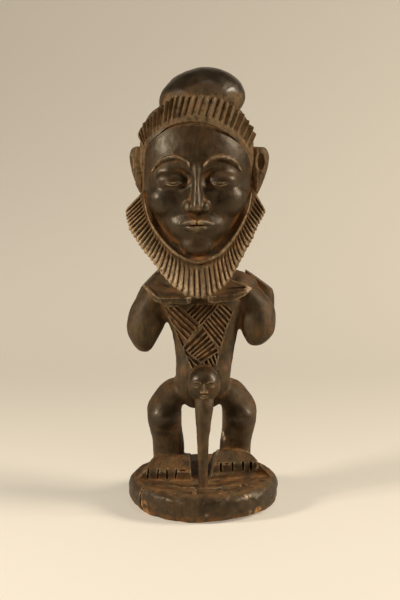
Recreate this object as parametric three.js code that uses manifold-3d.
// Ancestor figure carved from one block of dark hardwood, together with its round base.
// Millimetres, +Z up, the figure looks along -Y. The origin is the middle of the base's underside.
// Left and right are those of someone who faces the figure.
import * as THREE from 'three';
import { mergeVertices } from 'three/addons/utils/BufferGeometryUtils.js';
import Module from 'manifold-3d';

// Driving dimensions
const HEIGHT = 300;
const BASE_TOP = 20;
const BASE_RIM_RADIUS = 47.5;
const BASE_BELLY_RADIUS = 52;
const BODY_Y = 8; // the body stands a little behind the middle of the base
const KNEE_Z = 62;
const WAIST_Z = 95;
const CHEST_Z = 143;
const ELBOW_Z = 107;
const HEAD_X = -4.5; // the head sits a little to the left of the body
const CHIN_Z = 178;
const HAIRLINE_Z = 268;
const BEARD_FLUTES = 46;
const CREST_FLUTES = 26;
const FLUTE_DEPTH = 1.7;
const LEFT = -1;
const RIGHT = 1;

// The face is divided in thirds: hairline, brow, foot of the nose, chin
const FACE_THIRD = (HAIRLINE_Z - CHIN_Z) / 3;
const BROW_Z = HAIRLINE_Z - FACE_THIRD;
const NOSE_Z = CHIN_Z + FACE_THIRD;
const MOUTH_Z = CHIN_Z + (2 / 3) * FACE_THIRD;
const EYE_Z = BROW_Z - FACE_THIRD / 3;
const EYE_SPACING = 15.5; // from the nose's middle to the middle of an eye

const wasm = await Module();
wasm.setup();

// A closed geometry, moved by a rule from point to point, as a solid with its faces pointing out
function solid(geometry, rule) {
  geometry.deleteAttribute('normal');
  geometry.deleteAttribute('uv');
  const corners = geometry.attributes.position;
  const p = new THREE.Vector3();
  for (let i = 0; i < corners.count; i++) {
    const moved = rule(p.fromBufferAttribute(corners, i).clone());
    corners.setXYZ(i, moved.x, moved.y, moved.z);
  }
  const { index, attributes } = mergeVertices(geometry, 1e-4);
  const faces = [];
  let volume = 0;
  for (let i = 0; i < index.count; i += 3) {
    const face = [0, 1, 2].map((k) => index.getX(i + k));
    if (new Set(face).size < 3) continue; // a face that the rule has shrunk to a line
    const [a, b, c] = face.map((k) => new THREE.Vector3().fromBufferAttribute(attributes.position, k));
    volume += a.dot(b.cross(c));
    faces.push(...face);
  }
  const triVerts = Uint32Array.from(volume < 0 ? faces.reverse() : faces);
  return new wasm.Manifold(new wasm.Mesh({
    numProp: 3,
    vertProperties: Float32Array.from(attributes.position.array),
    triVerts,
  }));
}

function joined(solids) {
  return solids.reduce((whole, piece) => whole.add(piece));
}

function curve(points) {
  return new THREE.CatmullRomCurve3(points.map((p) => new THREE.Vector3(...p)), false, 'catmullrom');
}

// Sections from one end of a limb to the other. Each is [place along the axis, middle, middle, half
// size, half size], the middles and half sizes on the two other axes in the order x, y, z.
function sectionsOf(stations, axis = 'z') {
  const middle = curve(stations.map(([along, p, q]) => [p, q, along]));
  const size = curve(stations.map(([, , , wide, deep]) => [wide, deep, 0]));
  const place = { x: [2, 0, 1], y: [0, 2, 1], z: [0, 1, 2] }[axis];
  return (t, angle, square = 2, closing = 1) => {
    const bend = (v) => (Math.abs(v) < 1e-6 ? 0 : Math.sign(v) * Math.abs(v) ** (2 / square));
    const at = middle.getPoint(t);
    const half = size.getPoint(t);
    at.x += bend(Math.cos(angle)) * half.x * closing;
    at.y += bend(Math.sin(angle)) * half.y * closing;
    const parts = at.toArray();
    return new THREE.Vector3(...place.map((i) => parts[i]));
  };
}

// A closed, rounded solid through such sections. Ends are rounder the smaller blunt is, and sections
// go from oval to square as the value of square grows.
function limb(stations, { sides = 12, rows = 8, blunt = 4, square = 2, axis = 'z' } = {}) {
  const surface = sectionsOf(stations, axis);
  const ball = new THREE.SphereGeometry(1, sides, rows).rotateX(Math.PI / 2);
  return solid(ball, (p) => {
    const closing = Math.max(0, 1 - Math.abs(p.z) ** blunt) ** (1 / blunt);
    return surface((1 + p.z) / 2, Math.atan2(p.y, p.x), square, closing);
  });
}

function egg([x, y, z], [rx, ry, rz], { sides = 10, rows = 6 } = {}) {
  const ball = new THREE.SphereGeometry(1, sides, rows).rotateX(Math.PI / 2);
  return solid(ball, (p) => new THREE.Vector3(x + rx * p.x, y + ry * p.y, z + rz * p.z));
}

// A rounded ridge along a curve, thickest in the middle, half sunk in the surface that it lies on
function ridge(points, across, outward, proud, { rows = 7, sides = 6 } = {}) {
  const path = curve(points);
  const out = new THREE.Vector3(...outward).normalize();
  const ball = new THREE.SphereGeometry(1, sides, rows).rotateX(Math.PI / 2);
  return solid(ball, (p) => {
    const t = (1 + p.z) / 2;
    const side = path.getTangent(t).cross(out).normalize();
    return path.getPoint(t).addScaledVector(side, p.x * across).addScaledVector(out, p.y * proud);
  });
}

// A blade with a V section, whose removal leaves a groove along points on a surface
function blade(points, outward, width, depth, steps = 3) {
  const path = curve(points);
  const lift = 1; // the blade stands proud of the surface, so that it cuts right through it
  const prism = new THREE.CylinderGeometry(1, 1, 1, 3, steps);
  const apex = 1;
  const back = -0.5;
  return solid(prism, (p) => {
    const t = p.y + 0.5;
    const out = typeof outward === 'function' ? outward(t) : new THREE.Vector3(...outward);
    const side = path.getTangent(t).cross(out).normalize();
    const inward = ((p.z - back) / (apex - back)) * (depth + lift) - lift;
    const reach = (p.x / Math.sin(Math.PI / 3)) * (width / 2) * (1 + lift / depth);
    return path.getPoint(t).addScaledVector(side, reach).addScaledVector(out, -inward);
  });
}

// A plate between two curves, with V flutes that run from the inner edge out over the outer one.
// It reaches further in than the inner curve by the length of its root, and is thickest there.
function flutedPlate(inner, outer, { flutes, thickness, root, rootThickness }) {
  const inside = curve(inner);
  const outside = curve(outer);
  const plate = new THREE.BoxGeometry(1, 1, 1, 2 * flutes, 2, 1);
  return solid(plate, (p) => {
    const column = Math.round((p.x + 0.5) * 2 * flutes);
    const front = p.z > 0;
    const valley = front && column % 2 === 1;
    // The plain back has half the columns, and no row between its edges
    const along = (front ? column : 2 * Math.floor(column / 2)) / (2 * flutes);
    const row = front ? Math.round(2 * (p.y + 0.5)) : 2 * Math.floor(p.y + 0.5);
    const start = inside.getPointAt(along);
    const reach = outside.getPointAt(along).sub(start);
    const length = reach.length();
    const into = inside.getTangentAt(along).cross(reach).normalize();
    const across = [-root / length, 0, valley ? 0.985 : 1][row];
    const carved = valley ? FLUTE_DEPTH * [0, 0.7, 1][row] : 0;
    const depth = front ? carved : [rootThickness, 0, thickness][row];
    return start.addScaledVector(reach, across).addScaledVector(into, -depth);
  });
}

// The disc: a flat top and underside with a bulging edge, split at the left front and worn below
function base() {
  const bulge = 5.5;
  const profile = [[0, 0], [BASE_RIM_RADIUS, 0]];
  for (const z of [bulge / 2, BASE_TOP / 2 - 2, BASE_TOP / 2 + 2, BASE_TOP - bulge / 2]) {
    const rise = 1 - Math.abs(z / (BASE_TOP / 2) - 1) ** 2.5;
    profile.push([BASE_RIM_RADIUS + rise * (BASE_BELLY_RADIUS - BASE_RIM_RADIUS), z]);
  }
  profile.push([BASE_RIM_RADIUS, BASE_TOP], [0, BASE_TOP]);
  const points = profile.map(([r, z]) => new THREE.Vector2(r, z));
  const turned = new THREE.LatheGeometry(points, 36);
  const disc = solid(turned, (p) => new THREE.Vector3(p.x, p.z, p.y));
  const outward = (angle) => [Math.cos(angle), -Math.sin(angle), 0];
  const atEdge = (angle, z) => [...outward(angle).slice(0, 2).map((v) => v * BASE_BELLY_RADIUS), z];
  const [splitAngle, notchAngle] = [0.79 * Math.PI, 0.28 * Math.PI];
  const split = blade([atEdge(splitAngle, BASE_TOP + 1), atEdge(splitAngle + 0.03, -1)], outward(splitAngle), 2.6, 8, 2);
  const notch = blade([atEdge(notchAngle, 8), atEdge(notchAngle, 2)], outward(notchAngle), 1.6, 2.5, 1);
  const worn = new THREE.BoxGeometry(90, 50, 10).translate(0, -25, -5);
  worn.rotateX(-0.09).rotateZ(0.75).translate(19, -20, 0);
  return disc.subtract(split).subtract(notch).subtract(solid(worn, (p) => p));
}

const TORSO = [
  [66, -1.5, BODY_Y + 1, 14, 14],
  [77, -1.5, BODY_Y, 20, 19],
  [87, -1.4, BODY_Y - 1.5, 20.6, 19.5],
  [WAIST_Z, -0.3, BODY_Y - 2, 18.9, 18],
  [106, 0, BODY_Y - 1, 19.8, 16.5],
  [120, 0.2, BODY_Y + 1, 22.4, 16],
  [132, -0.6, BODY_Y + 2, 27, 17],
  [CHEST_Z, -1.4, BODY_Y + 2.5, 30, 17.5],
  [155, -2.5, BODY_Y + 4, 27, 14],
  [164, -3, BODY_Y + 4, 15, 11],
];
const TORSO_SQUARE = 2.5;

// The point of the chest and belly at a place seen from the front, and the way its surface faces
function onTorso(x, z) {
  const surface = sectionsOf(TORSO);
  let t = (z - TORSO[0][0]) / (TORSO.at(-1)[0] - TORSO[0][0]);
  for (let i = 0; i < 12; i++) t += (z - surface(t, 0).z) / 98;
  let low = Math.PI;
  let high = 2 * Math.PI;
  for (let i = 0; i < 20; i++) {
    const angle = (low + high) / 2;
    if (surface(t, angle, TORSO_SQUARE).x < x) low = angle;
    else high = angle;
  }
  const at = surface(t, low, TORSO_SQUARE);
  const beside = surface(t, low + 0.05, TORSO_SQUARE).sub(at);
  const above = surface(t + 0.01, low, TORSO_SQUARE).sub(at);
  return { at, facing: beside.cross(above).normalize() };
}

// Parallel grooves that fill a cell of the chest panel, given by its corners as seen from the front
function hatching(corners, slope, count) {
  const along = new THREE.Vector2(Math.cos(slope), Math.sin(slope));
  const across = new THREE.Vector2(-along.y, along.x);
  const ring = corners.map(([x, z]) => new THREE.Vector2(x, z));
  const spread = ring.map((p) => p.dot(across));
  const [least, most] = [Math.min(...spread), Math.max(...spread)];
  const grooves = [];
  for (let i = 0; i < count; i++) {
    const level = least + ((i + 0.5) / count) * (most - least);
    const hits = [];
    ring.forEach((p, k) => {
      const q = ring[(k + 1) % ring.length];
      const [from, to] = [p.dot(across) - level, q.dot(across) - level];
      if (from * to < 0) hits.push(p.clone().lerp(q, from / (from - to)));
    });
    if (hits.length < 2 || hits[0].distanceTo(hits[1]) < 3) continue;
    const stops = [0.06, 0.5, 0.94].map((share) => hits[0].clone().lerp(hits[1], share));
    const points = stops.map((p) => onTorso(p.x, p.y).at.toArray());
    const facing = (t) => {
      const p = hits[0].clone().lerp(hits[1], t);
      return onTorso(p.x, p.y).facing;
    };
    grooves.push(blade(points, facing, 1.6, 1.2, 1));
  }
  return grooves;
}

// The chest panel: a triangle on its point, crossed by plain bands between fields of hatching
function chestPanel() {
  const falling = -0.8;
  const rising = 0.8;
  const [top, crossing] = [141, 128];
  return joined([
    ...hatching([[-26, 136], [-12.5, top - 1], [-3, crossing], [-15.5, 112]], falling, 5),
    ...hatching([[-11, top], [9, top], [-1.5, crossing + 1]], rising, 4),
    ...hatching([[12, top], [24, top], [17, 120], [12, 110.5], [0.5, crossing]], falling, 7),
    ...hatching([[-2, crossing - 2], [10, 110.5], [-1, 102], [-14, 111.5]], rising, 5),
    ...hatching([[-14.5, 109.5], [-3, 100.5], [-5, 97]], falling, 1),
    ...hatching([[11, 109], [6.5, 97.5], [0, 98], [0.5, 101]], falling, 2),
  ]);
}

function torso() {
  const trunk = limb(TORSO, { sides: 20, rows: 11, blunt: 6, square: TORSO_SQUARE });
  const neck = limb([
    [150, -2.5, BODY_Y + 4, 17, 14],
    [170, -3.5, BODY_Y + 3, 15.5, 14.5],
    [196, HEAD_X, BODY_Y + 3, 18, 17],
  ], { sides: 12, rows: 4, blunt: 8 });
  const buttocks = [LEFT, RIGHT].map((side) => egg([side * 10.5 - 1.5, BODY_Y + 11, 80], [13, 14, 14], { sides: 8, rows: 6 }));
  const shoulders = limb([
    [-40, BODY_Y + 5, 149, 8, 7.5],
    [-26, BODY_Y + 5, 152.5, 11, 9],
    [-3, BODY_Y + 5, 155.5, 12.5, 9.5],
    [20, BODY_Y + 5, 154, 11, 9],
    [37, BODY_Y + 5, 150.5, 8, 7.5],
  ], { sides: 10, rows: 7, axis: 'x' });
  return joined([trunk.subtract(chestPanel()), neck, shoulders, ...buttocks]);
}

// A collarbone: a flat tongue that ends in a free rim over the chest
function collarbone(points, lift) {
  const outline = new THREE.Shape();
  outline.moveTo(...points[0]);
  outline.splineThru(points.slice(1).map((p) => new THREE.Vector2(...p)));
  const plate = new THREE.ExtrudeGeometry(outline, {
    depth: 5, steps: 1, bevelEnabled: true, bevelSize: 1, bevelThickness: 1, bevelSegments: 1, curveSegments: 3,
  });
  // The plate slopes down towards the front
  return solid(plate, (p) => new THREE.Vector3(p.x, p.y, p.z + lift + 0.28 * p.y));
}

// Upper arm down to the elbow, forearm folded up behind it, hand laid on the back of the shoulder
function arm(side, { shoulder, middle, elbow, lift }) {
  const upper = limb([
    [ELBOW_Z + lift, elbow, BODY_Y - 4, 5, 6],
    [ELBOW_Z + 6 + lift, elbow, BODY_Y - 3, 7.5, 9],
    [118 + lift, elbow, BODY_Y - 1, 9.8, 11.5],
    [126.5, middle, BODY_Y + 1, 12.6, 13],
    [135, middle - side * 1.7, BODY_Y + 2.5, 13.4, 13.5],
    [144, middle - side * 4, BODY_Y + 3, 13.2, 13.5],
    [152, middle - side * 7.5, BODY_Y + 3.5, 12, 12.5],
    [161, middle - side * 12.5, BODY_Y + 4, 9, 9],
  ], { sides: 12, rows: 9, blunt: 3 });
  const forearm = limb([
    [ELBOW_Z + 2 + lift, elbow, BODY_Y + 3, 5, 6],
    [118, elbow, BODY_Y + 9, 7.5, 7],
    [132, elbow + side * 0.5, BODY_Y + 14, 8, 6],
    [145, shoulder + side * 1.5, BODY_Y + 15, 8, 5],
    [155, shoulder - side * 2, BODY_Y + 13.5, 7.5, 4.5],
    [163, shoulder - side * 5, BODY_Y + 11.5, 6, 3.5],
  ], { sides: 8, rows: 7, blunt: 4 });
  const fingers = [-2, 0, 2].map((step) => {
    const x = shoulder - side * 4 + step;
    return blade([[x + side, BODY_Y + 20, 146], [x, BODY_Y + 17.5, 156], [x - side, BODY_Y + 13, 164]], [0, 0.9, 0.4], 1.4, 1.3, 2);
  });
  return upper.add(forearm).subtract(joined(fingers));
}

function leg(side, { hip, knee, ankle, foot, halfWidth, toeFront, splay, toeGaps }) {
  const shank = limb([
    [85, hip + side * 2, BODY_Y + 1, 11.5, 13],
    [78, hip + side * 6.2, BODY_Y - 1, 12.8, 14],
    [70, knee - side * 0.6, BODY_Y - 6, 12.2, 13.6],
    [KNEE_Z + 1, knee, BODY_Y - 10, 12, 12.8],
    [55, knee * 0.985, BODY_Y - 8, 11.6, 11.4],
    [46, ankle + side * 0.8, BODY_Y - 3.5, 11, 11],
    [38, ankle, BODY_Y - 1, 10.8, 11.2],
    [30, ankle, BODY_Y + 0.5, 10.8, 12.5],
    [18, ankle, BODY_Y + 1, 11, 14],
  ].reverse(), { sides: 12, rows: 10, blunt: 8 });
  // The foot's middle, half width and height, from the toes to the heel
  const plan = curve([[foot, halfWidth, 7.5], [foot, halfWidth * 0.94, 15], [ankle, 13, 15], [ankle, 11, 11]]);
  const slab = solid(new THREE.BoxGeometry(1, 1, 1, 4, 5, 1), (p) => {
    const [across, along] = [2 * p.x, p.y + 0.5];
    const { x, y, z } = plan.getPoint(along);
    const crown = p.z > 0.1 ? 1 - 0.2 * Math.abs(across) ** 4 : 1;
    const frontY = toeFront + splay * Math.max(0, side * across);
    const bow = across ** 2 * (2 * (1 - along) ** 8 - 4 * along ** 6);
    return new THREE.Vector3(
      x + across * y * (p.z > 0.1 ? 0.95 : 1),
      THREE.MathUtils.lerp(frontY, BODY_Y + 22, along) + bow,
      BASE_TOP - 1 + (p.z + 0.5) * z * crown,
    );
  });
  const gaps = toeGaps.map((share) => {
    const x = foot + side * share * halfWidth;
    const y = toeFront + splay * Math.max(0, share) + 2 * share ** 2;
    const points = [[x, y + 4.5, 30], [x, y + 0.6, 27], [x, y - 0.4, BASE_TOP + 0.5]];
    return blade(points, [0, -0.85, 0.53], 1.7, 1.7, 2);
  });
  return shank.add(slab.subtract(joined(gaps)));
}

// A small round head on the front of the belly, with the spike that runs down from it to the base
function bellyHead() {
  const [x, y, z, r] = [0.3, BODY_Y - 23.5, 87.5, 11.3];
  const skull = egg([x, y, z], [r, 10.5, 12.5], { sides: 12, rows: 8 });
  const lids = [LEFT, RIGHT].map((side) => egg([x + side * 4.3, y - 8.5, z + 0.8], [2.3, 1.6, 1.3], { sides: 6, rows: 4 }));
  const nose = limb([
    [z - 3.6, x, y - 9.2, 2.4, 3.4],
    [z - 1, x, y - 9.2, 1.7, 3],
    [z + 3.4, x, y - 9, 1, 1.8],
  ], { sides: 6, rows: 4 });
  const lips = egg([x, y - 8.6, z - 6], [3.4, 1.9, 1.2], { sides: 6, rows: 4 });
  const mouth = blade([[x - 3.4, y - 9.4, z - 6], [x, y - 10.6, z - 6], [x + 3.4, y - 9.4, z - 6]], [0, -1, 0], 0.7, 0.7);
  const spike = limb([
    [BASE_TOP - 1, -0.4, BODY_Y - 39, 2.6, 2.6],
    [36, -0.5, BODY_Y - 37.5, 2.9, 2.9],
    [52, -0.5, BODY_Y - 35.5, 3.5, 3.4],
    [64, -0.2, BODY_Y - 32, 4.6, 4.2],
    [74, 0.2, BODY_Y - 28.5, 5.6, 5.4],
    [83, 0.3, BODY_Y - 23, 6, 6],
  ], { sides: 8, rows: 8, blunt: 12 });
  return joined([skull, ...lids, nose, lips]).subtract(mouth).add(spike);
}

const SKULL = [
  [174, HEAD_X, -12, 9, 13],
  [182, HEAD_X, -7, 19, 22],
  [194, HEAD_X, -2, 27.5, 28.5],
  [210, HEAD_X, 2, 34, 32.5],
  [226, HEAD_X, 4, 37.3, 35.5],
  [242, HEAD_X, 5.5, 38, 36.5],
  [256, HEAD_X, 7.5, 37, 35.5],
  [268, HEAD_X, 9, 33.5, 33],
  [280, HEAD_X + 2, 10, 26, 24],
];

// The face: arched brows over closed, almond eyes, a straight nose, a small calm mouth
function face(skull) {
  const front = -31;
  const sockets = [LEFT, RIGHT].map((side) => {
    return egg([HEAD_X + side * EYE_SPACING, front - 2, EYE_Z], [12, 7, 8], { sides: 12, rows: 7 });
  });
  const lids = [LEFT, RIGHT].map((side) => {
    return egg([HEAD_X + side * EYE_SPACING, front + 5.5, EYE_Z - 0.8], [9.2, 7, 5.6], { sides: 10, rows: 5 });
  });
  const slits = [LEFT, RIGHT].map((side) => {
    const x = HEAD_X + side * EYE_SPACING;
    const z = EYE_Z - 2.4;
    return blade([[x - 8, front + 1.6, z + 0.6], [x, front - 1.4, z], [x + 8, front + 1.6, z + 0.6]], [0, -1, 0], 1, 1.1, 2);
  });
  const mouth = blade([
    [HEAD_X - 11, front - 1.5, MOUTH_Z], [HEAD_X, front - 5.2, MOUTH_Z], [HEAD_X + 11, front - 1.5, MOUTH_Z],
  ], [0, -1, 0], 1.4, 2.6, 2);
  const brows = [LEFT, RIGHT].map((side) => {
    const at = (reach, y, z) => [HEAD_X + side * reach, y, z];
    const arch = [
      at(4, front + 0.6, BROW_Z - 2), at(11, front + 0.2, BROW_Z + 3), at(20, front + 3.2, BROW_Z + 2.5),
      at(29, front + 10.6, BROW_Z - 4),
    ];
    return ridge(arch, 2.2, [0, -1, 0.25], 2.4);
  });
  const nose = limb([
    [NOSE_Z - 1.5, HEAD_X, front + 2, 7, 9.5],
    [NOSE_Z + 3, HEAD_X, front + 2, 6.2, 10.5],
    [NOSE_Z + 13, HEAD_X, front + 2, 3.4, 7.5],
    [EYE_Z, HEAD_X, front + 2, 2.7, 5.2],
    [BROW_Z + 1, HEAD_X, front + 2, 3.8, 4.2],
  ], { sides: 8, rows: 8, blunt: 5 });
  const wings = [LEFT, RIGHT].map((side) => egg([HEAD_X + side * 6, front - 0.5, NOSE_Z + 2], [3.6, 5.6, 3.4], { sides: 8, rows: 4 }));
  const muzzle = egg([HEAD_X, front + 4, MOUTH_Z - 1], [16, 8.6, 10], { sides: 12, rows: 6 });
  const lip = (z, fall, across) => ridge([
    [HEAD_X - 11, front - 0.6, z - fall], [HEAD_X, front - 4.2, z], [HEAD_X + 11, front - 0.6, z - fall],
  ], across, [0, -1, 0], 1.9);
  const chin = egg([HEAD_X, front + 4, CHIN_Z + 5], [11, 7, 6.5], { sides: 10, rows: 6 });
  const carved = skull.subtract(joined(sockets));
  const raised = [...lids, ...brows, nose, ...wings, muzzle, lip(MOUTH_Z + 2, 1.4, 2), lip(MOUTH_Z - 2.2, -0.8, 2.2), chin];
  return joined([carved, ...raised]).subtract(joined([...slits, mouth]));
}

function ear(side, reach) {
  const x = HEAD_X + side * reach;
  const shell = limb([
    [213, x - side * 4.5, 3, 2.5, 3.5],
    [221, x - side * 2.5, 2.5, 4, 5.5],
    [232, x - side * 0.6, 2, 5.8, 6.8],
    [240, x, 2, 6.4, 7.2],
    [247, x - side * 0.6, 2, 6, 7],
  ], { sides: 9, rows: 7, blunt: 5, square: 2.4 });
  const hollow = egg([x + side * 0.6, -5.4, 235], [3.9, 5.5, 8], { sides: 8, rows: 6 });
  return shell.subtract(hollow);
}

// The fluted crest of hair over the forehead and the bun on top of the head
function hair() {
  const hairline = [
    [-37.5, -6, 246], [-33, -12.5, 256.5], [-22, -20.5, 264.5], [HEAD_X, -24.3, HAIRLINE_Z],
    [13, -20.5, 263.5], [23.5, -13, 255.5], [29.5, -6, 244],
  ];
  const edge = [
    [-43, -8, 246.5], [-42.2, -10, 257.5], [-30.5, -13, 273.5], [-16, -16, 281], [-4, -17, 282.7],
    [9, -16, 281.3], [21.5, -13, 273.5], [32, -9, 261.5], [33.2, -6, 246],
  ];
  const crest = flutedPlate(hairline, edge, { flutes: CREST_FLUTES, thickness: 8, root: 3, rootThickness: 10 });
  const lean = 3;
  const bun = limb([
    [257, -1.5 - lean, BODY_Y, 27.5, 24],
    [HEIGHT - 21.5, -1.2, BODY_Y, 28.7, 25],
    [HEIGHT, -1 + lean * 0.6, BODY_Y - 1, 27.5, 24],
  ], { sides: 18, rows: 10, blunt: 2 });
  return crest.add(bun);
}

// The beard: a fluted plate that stands out round the jaw from ear to ear
function beard() {
  const jaw = [
    [32.5, -8, 218], [28.6, -15, 204.5], [21.5, -21.5, 191.5], [10.5, -28.5, 178.5], [HEAD_X + 0.5, -31, 173],
    [-17, -29, 178], [-28, -23, 188.5], [-36, -16, 200.5], [-40.5, -9, 217],
  ];
  const edge = [
    [35.2, -11, 217.5], [40.6, -16, 208], [32.3, -26, 192.4], [25.3, -34, 179.4], [14.5, -41.5, 163],
    [-3, -44, 153], [-18.6, -41.5, 160], [-33.3, -34, 178.8], [-45, -26, 193.7], [-51.6, -16, 208],
    [-44, -11, 216.8],
  ];
  return flutedPlate(jaw, edge, { flutes: BEARD_FLUTES, thickness: 5, root: 9, rootThickness: 17 });
}

function head() {
  const skull = limb(SKULL, { sides: 20, rows: 12, blunt: 5, square: 2.15 });
  return joined([face(skull), hair(), beard(), ear(LEFT, 39), ear(RIGHT, 41)]);
}

function figure() {
  return joined([
    base(),
    torso(),
    collarbone([[-34, -12], [-27, -17.5], [-16, -17], [-7, -14], [-6, 0], [-20, 2], [-34, -12]], 146),
    collarbone([[27.5, -8], [24.5, -13], [12, -17], [1, -14], [1, 0], [14, 3], [24, 0], [27.5, -8]], 148),
    arm(LEFT, { shoulder: -34.5, middle: -40.3, elbow: -41.5, lift: 0 }),
    arm(RIGHT, { shoulder: 37, middle: 37, elbow: 36.8, lift: 1.5 }),
    leg(LEFT, {
      hip: -14, knee: -27, ankle: -24.6, foot: -25.2, halfWidth: 16.6, toeFront: -14, splay: 0,
      toeGaps: [-0.34, 0.03, 0.33, 0.62],
    }),
    leg(RIGHT, {
      hip: 12, knee: 24.8, ankle: 22.3, foot: 22, halfWidth: 18.2, toeFront: -11, splay: 4,
      toeGaps: [-0.55, -0.12, 0.3, 0.6, 0.84],
    }),
    bellyHead(),
    head(),
  ]);
}

function meshOf(name, piece, material) {
  const { vertProperties, triVerts } = piece.getMesh();
  const geometry = new THREE.BufferGeometry();
  geometry.setAttribute('position', new THREE.BufferAttribute(vertProperties, 3));
  geometry.setIndex(new THREE.BufferAttribute(triVerts, 1));
  const shown = geometry.toNonIndexed();
  shown.computeVertexNormals();
  const mesh = new THREE.Mesh(shown, material);
  mesh.name = name;
  return mesh;
}

const darkWood = new THREE.MeshStandardMaterial({ color: 0x3a2a1c, roughness: 0.5, metalness: 0 });
const model = new THREE.Group();
model.add(meshOf('ancestor_figure', figure(), darkWood));

export default model;
